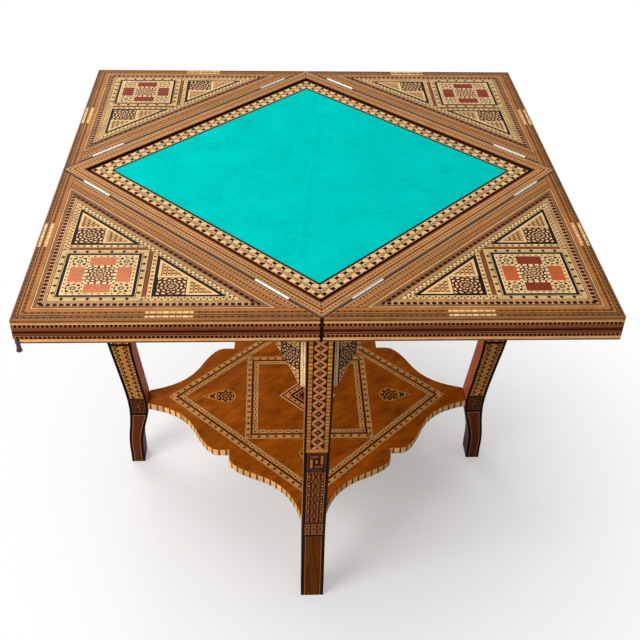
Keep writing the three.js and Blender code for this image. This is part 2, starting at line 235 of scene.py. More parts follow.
legs = ("right", "back", "left", "front")
leg_half = 22.5
leg_height = 703.7


def colour(red, green, blue):
    """A veneer's colour, from its values on screen."""
    values = [c / 255 for c in (red, green, blue)]
    return (*(c / 12.92 if c <= 0.04045 else ((c + 0.055) / 1.055) ** 2.4 for c in values), 1)


veneers = {
    "ebony": colour(26, 14, 8),
    "walnut": colour(54, 28, 13),
    "claret": colour(70, 18, 9),
    "rosewood": colour(102, 48, 24),
    "russet": colour(106, 54, 8),
    "mahogany": colour(134, 76, 36),
    "padauk": colour(198, 98, 50),
    "cherry": colour(182, 116, 60),
    "copper": colour(220, 138, 72),
    "rose": colour(230, 160, 106),
    "apricot": colour(216, 154, 94),
    "olive": colour(160, 126, 64),
    "straw": colour(222, 182, 122),
    "blush": colour(242, 186, 118),
    "mauve": colour(152, 110, 78),
    "amber": colour(206, 134, 56),
    "lemon": colour(242, 200, 142),
    "maple": colour(250, 212, 156),
}


class Finish(Nodes):
    """A wood, cloth or metal finish, with the place on the table in millimetres."""

    def __init__(self, name, roughness=0.4, shine=0.03):
        self.material = bpy.data.materials.new(name)
        self.material.use_nodes = True
        super().__init__(self.material.node_tree)
        self.shader = self.tree.nodes["Principled BSDF"]
        self.shader.inputs["Roughness"].default_value = roughness
        self.shader.inputs["Specular IOR Level"].default_value = shine
        at = self.add("ShaderNodeTexCoord", {}, {}, "Object")
        self.place = self.scaled(at, 1000.0)
        self.x, self.y, self.z = (
            self.add("ShaderNodeSeparateXYZ", {}, {0: self.place}, axis) for axis in ("X", "Y", "Z")
        )

    def set(self, socket, value):
        self.tree.links.new(value.socket, self.shader.inputs[socket])

    def bump(self, height, distance, strength=0.4):
        sockets = {"Strength": strength, "Distance": distance, "Height": height}
        self.set("Normal", self.add("ShaderNodeBump", {}, sockets))


def figured(finish, base, along, across, up, depth=0.3):
    """Adds the grain of the wood to a colour: fine streaks along it and broad cloudy figure."""
    fine = finish.noise(finish.joined(along / 30, across / 1.6, up / 1.6), 1.0, 3.0)
    broad = finish.noise(finish.joined(along / 160, across / 24, up / 24), 1.0, 3.0)
    streaks = (fine - 0.5) * depth * 2 + (broad - 0.5) * depth * 2.4
    finish.set("Roughness", 0.32 + fine * 0.16 + broad * 0.08)
    finish.bump(fine, 0.0002)
    return finish.scaled(base, 1 + streaks)


def banding(finish, across, along, strips):
    """Veneer strips glued side by side. Each has a width and a ground, and some have blocks set in
    them, with their veneer, pitch, length, shift along and how fast they narrow to a point."""
    total = sum(strip[0] for strip in strips)
    starts = [sum(strip[0] for strip in strips[:i]) / total for i in range(len(strips))]
    share = across / total

    def ramp(values):
        return finish.add("ShaderNodeValToRGB", {"stops": list(zip(starts, values))}, {0: share})

    def split(values, *parts):
        measured = ramp(values)
        return (finish.add("ShaderNodeSeparateColor", {}, {0: measured}, part) for part in parts)

    ground = ramp([veneers[strip[1]] for strip in strips])
    if all(len(strip) == 2 for strip in strips):
        return ground
    plain = (None, None, None, 10, 0, 0, 0)
    laid = [(*strip, *plain[len(strip):]) for strip in strips]
    blocks = ramp([veneers[strip[2] or strip[1]] for strip in laid])
    measures = [(strip[3] / 100, strip[4] / 100, strip[5], 1) for strip in laid]
    pitch, length, shift = split(measures, "Red", "Green", "Blue")
    steps = along / (pitch * 100) + shift
    reach = abs(steps.part() - 0.5) * pitch * 200
    room_left = length * 100
    if any(strip[6] for strip in laid):
        points = [(start + strip[0] / total / 2, strip[6], 0, 1) for start, strip in zip(starts, laid)]
        middle, taper = split(points, "Red", "Green")
        room_left = room_left - abs(share - middle) * total * taper * 2
    number = finish.joined(steps.whole(), pitch * 57, length * 31 + shift * 7)
    luck = finish.add("ShaderNodeTexWhiteNoise", {"noise_dimensions": "3D"}, {"Vector": number})
    return finish.mixed(ground, finish.scaled(blocks, 0.78 + luck * 0.4), reach < room_left)


def rosette(finish, p, q, ring, petals, ground, inlay, full=0.4):
    """A star of small kites set in rings round a centre."""
    radius = finish.add("ShaderNodeMath", {"operation": "SQRT"}, {0: p * p + q * q}) / ring
    angle = finish.add("ShaderNodeMath", {"operation": "ARCTAN2"}, {0: q, 1: p}) * (petals / math.tau)
    turn = abs((angle + radius.whole() * 0.5).part() - 0.5)
    kite = turn + abs(radius.part() - 0.5) < full
    return finish.mixed(veneers[ground], veneers[inlay], kite)


def rectangle(p, q, left, right, low, high):
    """Where a point lies in a rectangle."""
    return p.between(left, right) & q.between(low, high)


leg_wood = Finish("veneered_leg")
f = leg_wood
beside_y = abs(f.x) > abs(f.y)
across_leg = beside_y * f.y + (1 - beside_y) * f.x
radial, offset = abs(f.x).most(abs(f.y)), abs(across_leg)
outer_curve = [
    (0, 0.862), (0.045, 0.862), (0.08, 0.85), (0.12, 0.885), (0.165, 0.955), (0.22, 1.0), (0.267, 0.976),
    (0.327, 0.878), (0.387, 0.76), (0.489, 0.553), (0.655, 0.29), (0.824, 0.06), (1, 0),
]
depth_curve = [
    (0, 0.455), (0.1, 0.47), (0.155, 0.515), (0.205, 0.606), (0.245, 0.644), (0.293, 0.636),
    (0.367, 0.66), (0.448, 0.705), (0.485, 0.745), (0.71, 0.924), (0.85, 0.99), (1, 1.0),
]
head_reach, sweep, head_depth = 457.99, 61.5, 66
height = f.z / leg_height
curved_in = f.add("ShaderNodeFloatCurve", {"points": outer_curve}, {"Value": height})
share_deep = f.add("ShaderNodeFloatCurve", {"points": depth_curve}, {"Value": height})
behind = head_reach - sweep * curved_in - radial
depth = head_depth * share_deep

panel_top, low_block_top, seeds_top, pinwheel_top, lattice_foot, splice = 172, 213, 384, 437, 446, 563
lattice_half, edging_half = 10.4, 18.6
tiles = (f.z - splice).most(0) / 17.4 + (f.z - splice).least(0) / 24
lean = across_leg / (2 * lattice_half)
from_crossing = abs(tiles.part() - 0.5)
lattice = f.mixed(veneers["walnut"], veneers["mauve"], 0.5 - from_crossing + abs(lean) < 0.12)
lattice = f.mixed(lattice, veneers["claret"], from_crossing + 0.5 - abs(lean) < 0.22)
for hand, ribbon in ((-1, "rose"), (1, "copper")):
    from_ribbon = abs((tiles + lean * hand).part() - 0.5)
    lattice = f.mixed(lattice, veneers["ebony"], from_ribbon < 0.205)
    lattice = f.mixed(lattice, veneers[ribbon], from_ribbon.between(0.02, 0.16))
edging = banding(f, offset, f.z, [
    (lattice_half, "walnut"), (1.6, "ebony"), (6.6, "walnut", "amber", 8.75, 7), (4, "ebony")])
front = f.mixed(edging, lattice, offset < lattice_half)
bar = f.z.between(pinwheel_top, lattice_foot) & (offset < edging_half)
front = f.mixed(front, veneers["amber"], bar)

pinwheel_middle, pinwheel_half = 410.5, 26.5
up = f.z - pinwheel_middle
pinwheel = banding(f, (edging_half - offset).least(pinwheel_half - abs(up)), f.z, [
    (2.4, "ebony"), (1.2, "mahogany"), (9, "claret")])
for wood, box in (
    ("mahogany", (-11.5, 3, 11, 17.5)), ("cherry", (7, 11.5, -7, 17.5)), ("mahogany", (-3, 11.5, -17.5, -11)),
    ("cherry", (-11.5, -7, -17.5, 7)), ("ebony", (-4.6, 4.6, -8, 8)), ("cherry", (-2, 2, -5, 5)),
):
    pinwheel = f.mixed(pinwheel, veneers[wood], rectangle(across_leg, up, *box))
front = f.mixed(front, pinwheel, f.z < pinwheel_top)

seeds_half, seeds_pitch = 13.6, 28.2
up = ((f.z / seeds_pitch).part() - 0.5) * seeds_pitch
seeds = rosette(f, across_leg, up, 5, 8, "claret", "amber", 0.3)
seeds_edge = banding(f, offset - seeds_half, f.z, [
    (1, "ebony"), (1.8, "claret", "amber", 5.4, 3), (2.4, "ebony"), (5, "ebony")])
seeds = f.mixed(seeds, seeds_edge, offset > seeds_half)
front = f.mixed(front, seeds, f.z < seeds_top)

low_block_foot, low_row = 174, 19.5
from_row = abs((f.z - low_block_foot) / low_row % 1 - 0.5) * low_row
low_block = banding(f, from_row, offset + 6.2, [
    (1.8, "rosewood", "ebony", 12.4, 6), (2.6, "ebony", "cherry", 12.4, 9), (1.4, "ebony"),
    (2.4, "rosewood", "amber", 6.2, 3.2), (2, "ebony")])
front = f.mixed(front, low_block, f.z < low_block_top)

panel_half = 13.4
panel = banding(f, offset, f.z, [
    (panel_half, "russet"), (1, "claret"), (1.4, "claret", "copper", 3.2, 1.8), (2.9, "walnut"),
    (4, "ebony")])
flame = f.noise(f.joined(across_leg / 9, f.z / 90, 0), 1.0, 3.0) > 0.52
panel = f.mixed(panel, veneers["claret"], flame & (offset < panel_half) & 0.55)
front = f.mixed(front, panel, f.z < panel_top)
seams = f.z.between(170.5, 174.5) | f.z.between(211, 215) | f.z.between(382.5, 385.5)
front = f.mixed(front, veneers["ebony"], seams | (offset > 18.7))

side_edge, check_width = 6.5, 4.6
in_side = behind - depth / 2
inside = depth / 2 - side_edge - abs(in_side)
wave_length, wave_column, wave_swing = 12, 19, 5.5
strand = ((in_side / wave_column + 0.5) % 1 - 0.5) * wave_column
bend = abs((f.z / wave_length).part() - 0.5)
from_wave = abs(strand + (bend - 0.25) * (4 * wave_swing))
sides = f.mixed(veneers["amber"], veneers["mahogany"], from_wave < 4.4)
sides = f.mixed(sides, veneers["apricot"], from_wave < 2.4)
outward = strand > 0
from_spot = (outward * (0.5 - bend) + (1 - outward) * bend) * wave_length + abs(abs(strand) - 7.2)
sides = f.mixed(sides, veneers["walnut"], from_spot < 4.2)
check_row = banding(f, check_width - inside, f.z, [(1, "rosewood"), (3.6, "rosewood", "apricot", 7.7, 5.2)])
sides = f.mixed(sides, check_row, inside < check_width)

side_seam, side_block_top, side_block_middle, side_block_half = 345.5, 194, 172, 20
broken_line = ("ebony", "mahogany", 9, 6.2)
side_block = banding(f, inside.least(side_block_half - abs(f.z - side_block_middle)), f.z + in_side, [
    (1.4, "mahogany"), (2.4, "ebony"), (1.6, *broken_line), (1.6, "ebony"), (1.6, *broken_line, 0.5),
    (1.6, "ebony"), (1.6, *broken_line), (1.4, "ebony"), (3, "mahogany")])
sides = f.mixed(sides, side_block, f.z < side_block_top)
side_seams = (abs(f.z - side_seam) < 3.4) | (abs(f.z - (side_block_top - 1)) < 1.6)
sides = f.mixed(sides, veneers["ebony"], (inside < 0) | side_seams)
side_panel_top, side_block_foot = 145, 152
in_panel = (inside + 0.4).least(side_panel_top - f.z)
side_panel = banding(f, in_panel, f.z, [(1.6, "cherry"), (0.6, "walnut"), (9, "rosewood")])
side_panel = f.mixed(veneers["ebony"], side_panel, in_panel > 0)
sides = f.mixed(sides, side_panel, f.z < side_block_foot)

shelf_foot, shelf_top = 163.0, 180.0
skin = f.mixed(front, sides, offset > leg_half - 0.3)
inner_face = f.mixed(veneers["padauk"], veneers["claret"], f.z < shelf_foot)
skin = f.mixed(skin, inner_face, depth - behind < 0.4)
f.set("Base Color", figured(f, skin, f.z, f.x, f.y, 0.22))


def fitted(node, ease=0, where=None):
    """A finished copy of a sawn piece: its loose facets are joined and its arrises are eased. These
    are all the arrises of each face that has only sharp ones, because such a face stays selected and
    brings its edges back, and also those with both ends where a rule, if given, says so."""
    source = frame["nodes"][node]
    piece = bpy.data.objects.new(f"{node}_veneered", source.data.copy())
    scene.collection.objects.link(piece)
    bpy.ops.object.select_all(action="DESELECT")
    piece.select_set(True)
    bpy.context.view_layer.objects.active = piece
    bpy.ops.object.mode_set(mode="EDIT")
    bpy.ops.mesh.select_mode(type="EDGE")
    bpy.ops.mesh.select_all(action="SELECT")
    bpy.ops.mesh.remove_doubles(threshold=0.00002)
    bpy.ops.mesh.dissolve_limited(angle_limit=math.radians(0.5))
    bpy.ops.mesh.select_all(action="DESELECT")
    bpy.ops.mesh.edges_select_sharp(sharpness=math.radians(40))
    bpy.ops.object.mode_set(mode="OBJECT")
    if ease:
        for edge in piece.data.edges:
            ends = [piece.data.vertices[i].co * 1000 for i in edge.vertices]
            edge.select = bool(where) and edge.select and all(where(end) for end in ends)
        bpy.ops.object.mode_set(mode="EDIT")
        bpy.ops.mesh.bevel(offset=ease, segments=2, affect="EDGES")
        bpy.ops.object.mode_set(mode="OBJECT")
    bpy.ops.object.shade_smooth_by_angle(angle=math.radians(32))
    even = piece.modifiers.new("even", "WEIGHTED_NORMAL")
    even.keep_sharp = True
    bpy.ops.object.modifier_apply(modifier=even.name)
    bodies = frame["record"]["behaviour"]["bodies"]
    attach(piece, next(body for body, members in bodies.items() if node in members))
    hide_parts(node)
    return piece


def dress(piece, finish):
    """Gives a piece one finish all over."""
    piece.data.materials.clear()
    piece.data.materials.append(finish.material)


def leg_arris(p):
    """The four long arrises of a leg."""
    return min(abs(p.x), abs(p.y)) > leg_half - 0.1


for leg in legs:
    dress(fitted(f"{leg}_leg", 0.0007, leg_arris), leg_wood)

# The corner blocks, plain softwood, glued into the corner behind each leg and screwed to the leg
# and up into the frame. They are seen only from below.

block_wood = Finish("corner_block_wood", 0.6)
f = block_wood
f.set("Base Color", figured(f, veneers["cherry"], f.z, f.x, f.y, 0.35))
for leg in legs:
    dress(frame["nodes"][f"{leg}_corner_block"], block_wood)

# The four arched aprons between the legs, tenoned into them. Their faces are veneered with panels of
# star mosaic in black frames and, beside each leg, two pale strips. Their backs are plain.

quarters = ("back_right", "back_left", "front_left", "front_right")
apron_middle = 317.0


def turned(finish):
    """How far a point lies from the middle of the table towards its side, and along that side."""
    x, y = abs(finish.x), abs(finish.y)
    return (x + y) * 0.70711, (x - y) * 0.70711


def stars(finish, p, q, pitch, ground, inlay, heart):
    """Eight-pointed stars in rows, with a small heart in each and diamonds between them."""
    a, b = abs((p / pitch).part() - 0.5), abs((q / pitch).part() - 0.5)
    square, diamond = a.most(b), (a + b) * 0.7071
    star = square.least(diamond)
    tile = finish.mixed(veneers[ground], veneers[inlay], star.between(0.1, 0.27) | (a + b > 0.84))
    return finish.mixed(tile, veneers[heart], (star > 0.3) & (star < 0.36) | (star < 0.05))


apron_wood = Finish("veneered_apron")
f = apron_wood
away, along = turned(f)
side = abs(along)
cells_start, cell_width, cells_end, cells_foot = 37, 41, 242, 658
low_panel, upper_row, strips_start = (244, 280, 620, 656), (cells_start, cells_end, 661, 699), 284
low_panel_side, low_panel_height = 262, 638.5
face = stars(f, side + 1, f.z - 5, 11, "cherry", "lemon", "ebony")
mosaic = rosette(f, side - low_panel_side, f.z - low_panel_height, 5, 10, "claret", "straw", 0.36)
face = f.mixed(face, mosaic, rectangle(side, f.z, *low_panel))
cell = (side - cells_start) / cell_width
upper_mosaic = rosette(f, (cell.part() - 0.5) * cell_width, f.z - 680, 5, 10, "ebony", "straw")
every_other = rectangle(side, f.z, *upper_row) & ((cell * 0.5).part() > 0.5)
face = f.mixed(face, upper_mosaic, every_other)
black = side.between(240.6, 243.8) | side.between(280.4, strips_start) | (f.z > 701)
for line in ((0, 282, 656.2, 659.2), (cells_end, 282, 617.6, 620.6)):
    black = black | rectangle(side, f.z, *line)
cell_line = (abs(cell.part() - 0.5) > 0.465) & (side < cells_end) & (f.z > cells_foot)
face = f.mixed(face, veneers["ebony"], black | cell_line)
strips = banding(f, side - strips_start, f.z, [(5.4, "lemon"), (1, "ebony"), (5.2, "maple", "lemon", 24, 12)])
face = f.mixed(face, strips, side > strips_start)
face = f.mixed(veneers["cherry"], face, away > apron_middle)
f.set("Base Color", figured(f, face, along, away, f.z, 0.24))


def apron_arris(p):
    """The arrises of an apron between its legs, without the top ones."""
    return abs(abs(p.x) - abs(p.y)) < 414 and p.z < 703


for quarter in quarters:
    dress(fitted(f"{quarter}_apron", 0.0007, apron_arris), apron_wood)

# The shelf, a scalloped board tenoned into the four legs. Its field is satin wood, inlaid with two
# double bands of blocks, a diamond in the middle and four leaf drops, and its edge is striped.

shelf_wood = Finish("inlaid_shelf", 0.34, 0.02)
f = shelf_wood
away, along = turned(f)
x, y = abs(f.x), abs(f.y)
inner, beside = x.most(y), x.least(y)
cloud = f.noise(f.joined((f.x + f.y) / 90, (f.x - f.y) / 34, 0), 1.0, 6.0, 0.66)
top = f.mixed(colour(112, 46, 1), colour(190, 100, 10), (cloud - 0.5) * 2 + 0.5)

line_blocks = ("cherry", "straw", 17.9, 9)
dark_blocks = ("amber", "ebony", 17.9, 4.6)
double_band = [
    (1.5, "straw"), (1, "rosewood"), (1.5, *line_blocks), (3.8, *dark_blocks, 0.5), (1.5, *line_blocks),
    (0.8, "rosewood"), (0.9, "amber"), (4, "claret", "ebony", 9, 6.6), (0.9, "amber"), (0.8, "rosewood"),
    (1.5, *line_blocks), (3.8, *dark_blocks), (1.5, *line_blocks), (0.8, "rosewood"), (1.5, "straw"),
    (0.6, "walnut"),
]
for from_middle, walk, band_start, band_end in ((away, along, 192.2, 218.4), (inner, beside, 110.3, 136.5)):
    band = banding(f, band_end - from_middle, walk, double_band)
    top = f.mixed(top, band, from_middle.between(band_start, band_end))
diamond_half = 44.7
diamond = banding(f, diamond_half - away, along, [
    (2.7, "straw"), (1, "rosewood"), (3, "claret"), (2.6, "copper"), (4.6, "copper", "ebony", 14, 5),
    (3, "copper"), (5, "ebony"), (0.7, "walnut"), (2, "rose"), (2, "walnut"), (5, "ebony", "padauk", 8, 4.4),
    (14, "ebony"),
])
top = f.mixed(top, diamond, away < diamond_half)

drop_middle, drop_size, drop_half, rim_half = 184, 1.2, 19, 16.6
ahead, beside = (inner - drop_middle) / drop_size, beside / drop_size
round_end = ahead.least(0)
drop = f.add("ShaderNodeMath", {"operation": "SQRT"}, {0: round_end * round_end + beside * beside})
drop = drop + ahead.most(0) * 0.44
drop_mosaic = rosette(f, ahead, beside, 5.4, 8, "ebony", "amber")
drop_mosaic = f.mixed(drop_mosaic, veneers["amber"], (drop > rim_half) | ahead.between(16, 18.5))
top = figured(f, f.mixed(top, drop_mosaic, drop < drop_half), f.x, f.y, f.z, 0.3)

edge_run = f.add("ShaderNodeUVMap", {"uv_map": "edge_run"}, {})
run = f.add("ShaderNodeSeparateXYZ", {}, {0: edge_run}, "X") * 1000
stripes = banding(f, f.z - shelf_foot, run, [
    (0.8, "walnut"), (15.4, "rosewood", "blush", 15.6, 11.7), (0.8, "straw")])
edge = f.mixed(figured(f, veneers["cherry"], f.x, f.y, f.z, 0.3), stripes, f.z > shelf_foot + 0.2)
f.set("Base Color", f.mixed(edge, top, f.z > shelf_top - 0.5))


def scalloped_arris(p):
    """The arrises of the shelf, without those of its ends in the legs."""
    return max(abs(p.x), abs(p.y)) < 352


piece = fitted("shelf", 0.0009, scalloped_arris)
outline = max(piece.data.polygons, key=lambda face: face.area * (face.normal.z > 0.5))
walked, far = 0.0, {}
corners = [piece.data.vertices[i].co for i in outline.vertices]
for here, after in zip(corners, corners[1:] + corners[:1]):
    far[(here.x, here.y)] = walked
    walked += (after - here).length
edge_map = piece.data.uv_layers.new(name="edge_run")
for face in piece.data.polygons:
    if abs(face.normal.z) > 0.5:
        continue
    runs = []
    for loop in face.loop_indices:
        spot = piece.data.vertices[piece.data.loops[loop].vertex_index].co
        nearest = min(far, key=lambda place: (place[0] - spot.x) ** 2 + (place[1] - spot.y) ** 2)
        runs.append(far[nearest])
    wrapped = max(runs) - min(runs) > walked / 2
    for loop, distance in zip(face.loop_indices, runs):
        edge_map.data[loop].uv = (distance + walked * (wrapped and distance < walked / 2), 0)
dress(piece, shelf_wood)

# The centre frame, four mitred rails over the legs and aprons. Its top is banded with stringing and
# two rows of small dark dots, the hinges are let into its outer side, and its arrises are eased.

table_top = 750.0
frame_reach = 329.5
frame_wood = Finish("banded_frame")
f = frame_wood
away, along = turned(f)
dots = ("cherry", "walnut", 7.5, 2.4)
# The black strip at the outer edge of the top is painted shade for the seam by the leaves.
frame_top = banding(f, frame_reach - away, along, [
    (0.8, "ebony"), (4.6, "mauve"), (1, "lemon"), (3.8, *dots), (1, "lemon"), (2.2, "cherry"),
    (3, "mahogany"), (1.6, "cherry"), (1, "lemon"), (3.8, *dots, 0.4), (1, "lemon"), (3.8, "cherry"),
    (1.8, "rosewood"), (1.4, "ebony"),
])
# Below its top the frame is walnut all round, painted shade for the well's wall and the gap by the leaves.
shade = f.mixed(veneers["walnut"], frame_top, f.z > table_top - 0.8)
f.set("Base Color", figured(f, shade, along, away, f.z, 0.34))


def well_arris(p):
    """The arris of the frame's top round the playing board."""
    return p.z > table_top - 0.1 and abs(p.x) + abs(p.y) < 299 * math.sqrt(2)


for quarter in quarters:
    dress(fitted(f"{quarter}_frame_rail", 0.001, well_arris), frame_wood)

# Inside the frame, the ledge that the playing board rests on and the thin floor of the well below
# it, both plain wood.

well_wood = Finish("well_wood", 0.6)
f = well_wood
f.set("Base Color", figured(f, veneers["cherry"], f.x, f.y, f.z, 0.4))
for node in ("board_ledge", "well_floor"):
    dress(frame["nodes"][node], well_wood)

# The playing board, a loose panel with a border of two rows of dark squares and pale blocks round
# its baize, which a black line edges. It lies in the well with a small gap all round.

border_start, board_top = 262, 747.3
board_wood = Finish("bordered_board")
f = board_wood
away, along = turned(f)
pale_line = ("straw", "rosewood", 10.1, 2.8)
dark_line = ("apricot", "rosewood", 10.1, 2.8, 0.3)
squares = ("lemon", "ebony", 20.2, 8.4)
border = banding(f, away - border_start, along, [
    (4.6, "ebony"), (0.6, "maple"), (1.8, *pale_line), (6.4, *squares), (1.8, *pale_line), (1, "lemon"),
    (2, "apricot", "walnut", 6.7, 2.6), (1, "walnut"), (0.8, "lemon"), (2.2, *dark_line),
    (6.4, *squares, 0.3), (1.8, *dark_line), (0.8, "rosewood"),
])
shade = f.mixed(veneers["rosewood"], border, (f.z > board_top) & (away > border_start - 0.1))
f.set("Base Color", figured(f, shade, along, away, f.z, 0.26))
dress(frame["nodes"]["playing_board"], board_wood)

# The baize, one square of green felted wool stretched over the board's middle and glued down in its shallow
# seat. Two faint creases show where it was once folded in four, and wear has crinkled it; the creases and
# crinkles are darkened in colour with painted shade.

baize_side, baize_top, baize_thickness = 0.524, 0.7479, 0.0007
baize_felt = Finish("green_baize", 0.95, 0.0)
f = baize_felt
nap = f.noise(f.scaled(f.place, 0.32), 1.0, 5.0, 0.65)
clouds = f.noise(f.scaled(f.place, 0.012), 1.0, 3.0)
across_fold = abs(f.x - f.y * 0.1).least(abs(f.y - 8))
wrinkles = f.noise(f.joined(f.x / 34 + clouds * 3, f.y / 22, 0), 1.0, 3.0)
patches = f.noise(f.joined(f.x / 90, f.y / 70, 4), 1.0, 2.0) > 0.53
crinkled = (abs(wrinkles - 0.5) < 0.014) & patches
# Mottled nap and clouds, with painted shade darkening the two fold creases and the crinkles.
mottle_and_crease_shade = 0.6 + nap * 0.52 + clouds * 0.34 - (across_fold < 0.9) * 0.07 - crinkled * 0.11
f.set("Base Color", f.scaled(colour(0, 206, 196), mottle_and_crease_shade))
f.bump(nap - crinkled * 0.5, 0.001, 0.6)

bpy.ops.object.select_all(action="DESELECT")
bpy.ops.mesh.primitive_grid_add(x_subdivisions=120, y_subdivisions=120, size=baize_side,
                                location=(0, 0, baize_top - 0.0003), rotation=(0, 0, math.radians(45)))
baize = bpy.context.object
baize.name = "baize_lining"
bpy.ops.object.transform_apply(location=True, rotation=True, scale=True)
held_edge, ripple_height, crease_height, crease_width = 0.02, 0.0016, 0.0005, 0.0035
for vertex in baize.data.vertices:
    spot = vertex.co
    inward = baize_side / 2 - max(abs(spot.x + spot.y), abs(spot.x - spot.y)) * 0.70711
    rise = min(1, inward / held_edge)
    ripple = mathnoise.noise(Vector((spot.x * 14, spot.y * 9, 3)))
    ripple *= mathnoise.noise(Vector((spot.x * 40, spot.y * 22, 8)))
    folds = (spot.x - spot.y * 0.1, spot.y - 0.008)
    crease = sum(math.exp(-(fold / crease_width) ** 2) for fold in folds)
    spot.z += rise * (ripple_height * max(0, ripple) + crease_height * crease)
thickness = baize.modifiers.new("thickness", "SOLIDIFY")
thickness.thickness, thickness.offset = baize_thickness, -1
bpy.ops.object.modifier_apply(modifier=thickness.name)
bpy.ops.object.shade_smooth_by_angle(angle=math.radians(40))
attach(baize, "board")
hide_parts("baize")
dress(baize, baize_felt)

# The four folding leaves. Each has a core of three mitred rails, whose two outer rails are banded
# like the panels' edges: checker rows, a dark red middle and pale lines.

leaf_rails = {
    "back_right": ("right", "back"), "back_left": ("back", "left"),
    "front_left": ("left", "front"), "front_right": ("front", "right"),
}
leaf_reach = 465.63


def edge_bands(finish):
    """The bands on a leaf's outer edge, from the top down, and black at its two sharp tips, a painted shade
    for the gap where two leaves meet at a corner.
    """
    checks = ("padauk", "ebony", 6.8, 4.4)
    middle = abs(finish.x).least(abs(finish.y))
    bands = banding(finish, table_top - finish.z, middle, [
        (3.4, "cherry"), (0.5, "walnut"), (2.3, "mahogany"), (4, "blush"), (0.4, "walnut"), (4.4, *checks),
        (0.5, "walnut"), (0.8, "mauve"), (3.4, "mahogany"), (0.6, "mauve"), (2.2, "rosewood"),
        (3.6, "claret"), (1.4, "rosewood"), (0.9, "mauve"), (2.6, "rosewood"), (1.2, "mauve"),
        (3.9, *checks), (0.8, "walnut"), (0.8, "cherry"), (4.6, "blush"), (0.5, "walnut"), (3.2, "mahogany"),
    ])
    return finish.mixed(bands, veneers["ebony"], middle < 2.8)


def on_edge(finish):
    """Where a point is on the outer edge of a leaf, and not on its faces."""
    return abs(finish.x).most(abs(finish.y)) > leaf_reach - 0.3


core_wood = Finish("banded_edge")
f = core_wood
reach, middle = abs(f.x).most(abs(f.y)), abs(f.x).least(abs(f.y))
shade = f.mixed(veneers["rosewood"], edge_bands(f), on_edge(f))
f.set("Base Color", figured(f, shade, middle, f.z, reach, 0.34))
for quarter in quarters:
    for rail in (*leaf_rails[quarter], "hinge"):
        dress(frame["nodes"][f"{quarter}_leaf_{rail}_rail"], core_wood)

# Each leaf's playing side is one panel of marquetry: bands along the hinge, a ring of stringing and
# bead rows, a square block of star mosaic and red rectangles, and a small triangle on each side of it.
# The red rectangles carry painted light and shade: lightest on the front left leaf, darkest on the back ones
# and on two of the front right leaf's four.

leaf_wood = Finish("marquetry_leaf")
f = leaf_wood
away, along = turned(f)
x, y = abs(f.x), abs(f.y)
reach, middle = x.most(y), x.least(y)
leaf_start, ring_side, ring_hinge, ring_width = 330.5, 439, 361.5, 30
# The black strip at the hinge edge is painted shade for the seam by the frame.
hinge_bands = banding(f, away - leaf_start, along, [
    (0.8, "ebony"), (1.2, "mauve"), (0.6, "walnut"), (1.6, "mauve"), (0.9, "lemon"), (0.5, "walnut"),
    (4.4, *dots), (0.8, "straw"), (0.6, "rosewood"), (1.6, "cherry"), (0.5, "rosewood"), (1.5, "apricot"),
    (0.5, "rosewood"), (1.7, "cherry"), (0.6, "rosewood"), (4.4, *dots, 0.4), (0.8, "straw"), (0.6, "walnut"),
    (1.6, "mahogany"), (0.6, "straw"), (2.4, "mahogany"), (3, "cherry"),
])
outer_lines = [
    (1.2, "maple"), (1.3, "walnut"), (1.6, "cherry"), (0.9, "rosewood"), (1.5, "mauve"), (0.5, "walnut")]
inner_lines = [
    (1.5, "mahogany"), (1, "lemon"), (2, "cherry", "walnut", 5, 1.8), (1, "lemon"), (1, "mahogany"),
    (0.5, "walnut")]
to_side, to_hinge = ring_side - reach, away - ring_hinge
side_ring = banding(f, to_side, middle, [
    *outer_lines, (6, "rose", "ebony", 10, 9, 0, 0.8), *inner_lines, (1.2, "lemon"),
    (3.8, "straw", "walnut", 10, 2.8), (3.8, "straw", "walnut", 10, 2.8, 0.5), (1.2, "lemon"),
])
hinge_ring = banding(f, to_hinge, along, [
    *outer_lines, (6.4, "mahogany", "ebony", 12, 9, 0, 1), *inner_lines, (0.8, "olive"),
    (4, "maple", "ebony", 10, 3.8, 0, 0.4), (4, "straw", "walnut", 10, 3.8, 0.5, 0.4), (0.8, "olive"),
])
marquetry = f.mixed(hinge_ring, side_ring, to_side < to_hinge)
core = to_side.least(to_hinge) > ring_width

triangle_side, triangle_tip, triangle_hinge = 409, 261, 392
teeth_side, teeth_hinge, teeth_edge = 404.5, 396.5, 4.6
near_tooth_tip, far_tooth_side, far_tooth_tip = 209, 357, 256.5
flecks = banding(f, (reach / 8.6 % 1) * 8.6, middle, [
    (3.4, "amber", "walnut", 7.6, 4.2), (5.2, "straw", "mahogany", 7.6, 2.2, 0.5)])
near_tooth = (teeth_side - reach).least(near_tooth_tip - middle).least(away - teeth_hinge)
far_tooth = (far_tooth_side - reach).least(far_tooth_tip - middle).least(away - teeth_hinge)
triangle = f.mixed(veneers["lemon"], flecks, near_tooth.most(far_tooth) > teeth_edge)
wheel_reach, wheel_along, wheel_half, wheel_edge = 380.75, 232.75, 22.2, 23.75
wheel = rosette(f, reach - wheel_reach, middle - wheel_along, 6.4, 12, "claret", "lemon", 0.39)
from_wheel = abs(reach - wheel_reach).most(abs(middle - wheel_along))
wheel = f.mixed(veneers["ebony"], wheel, from_wheel < wheel_half)
triangle = f.mixed(triangle, wheel, from_wheel < wheel_edge)
inset = (triangle_side - reach).least(triangle_tip - middle).least(away - triangle_hinge)
triangle = f.mixed(veneers["ebony"], triangle, inset > 4.8)
fillet = banding(f, middle - triangle_tip, reach, [
    (0.8, "walnut"), (1.4, "lemon"), (4.6, "mahogany", "lemon", 11, 6.6), (1.4, "lemon"), (0.8, "walnut"),
    (6, "mahogany"),
])
marquetry = f.mixed(marquetry, f.mixed(triangle, fillet, middle > triangle_tip), core)

